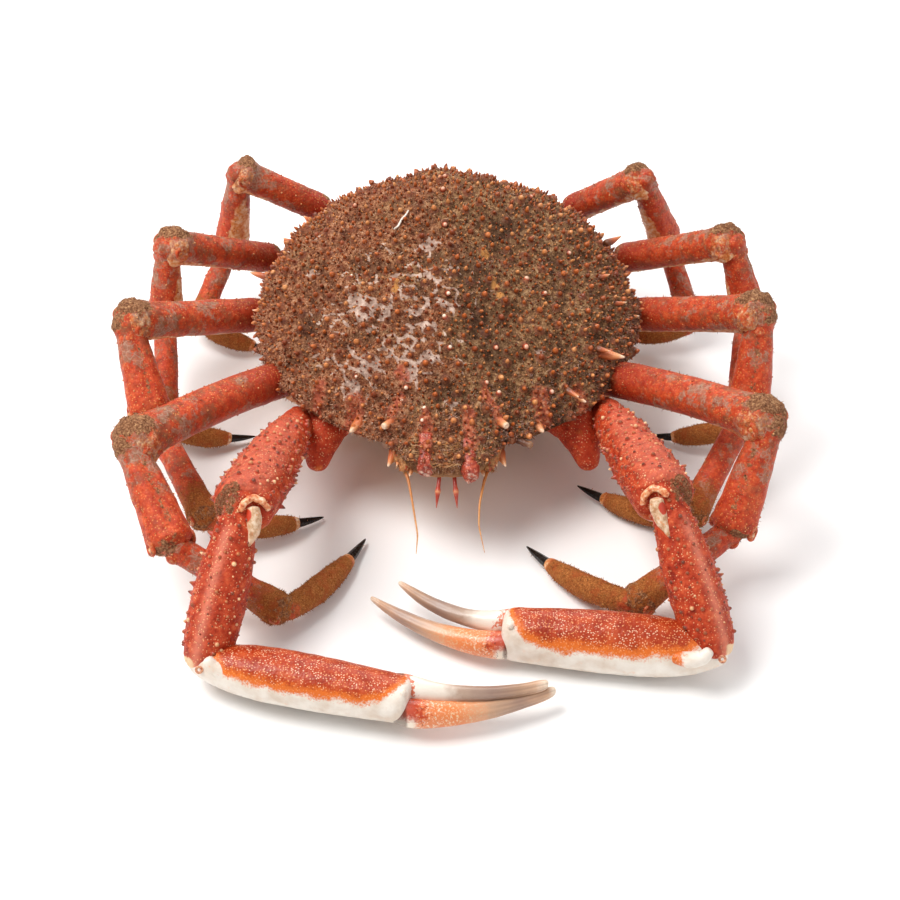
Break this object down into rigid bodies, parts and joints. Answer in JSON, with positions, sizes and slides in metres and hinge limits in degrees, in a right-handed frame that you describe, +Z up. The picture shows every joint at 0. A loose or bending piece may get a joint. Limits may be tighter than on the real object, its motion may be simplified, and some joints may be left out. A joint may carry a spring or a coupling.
{
  "type": "spider crab",
  "caption": "Whole cooked spider crab: a rough domed shell with spines and short horns, legs bent forward and slim pincers folded in front of it.",
  "frame": {"origin": "on the flat underside of the folded tail, under the widest line of the shell, on the surface that the crab rests on", "axes": "+Z up; -Y towards the horns and pincers, the front; +X is the crab's own left"},
  "size_m": [0.2434, 0.2581, 0.0821],
  "materials": {
    "crab_shell": "rough, felted and bumpy on the back; coral red, granular and slightly glossy on the limbs; porcelain white on the lower side of the pincers"
  },
  "bodies": {
    "root": {"crab": "crab_shell"}
  },
  "joints": []
}
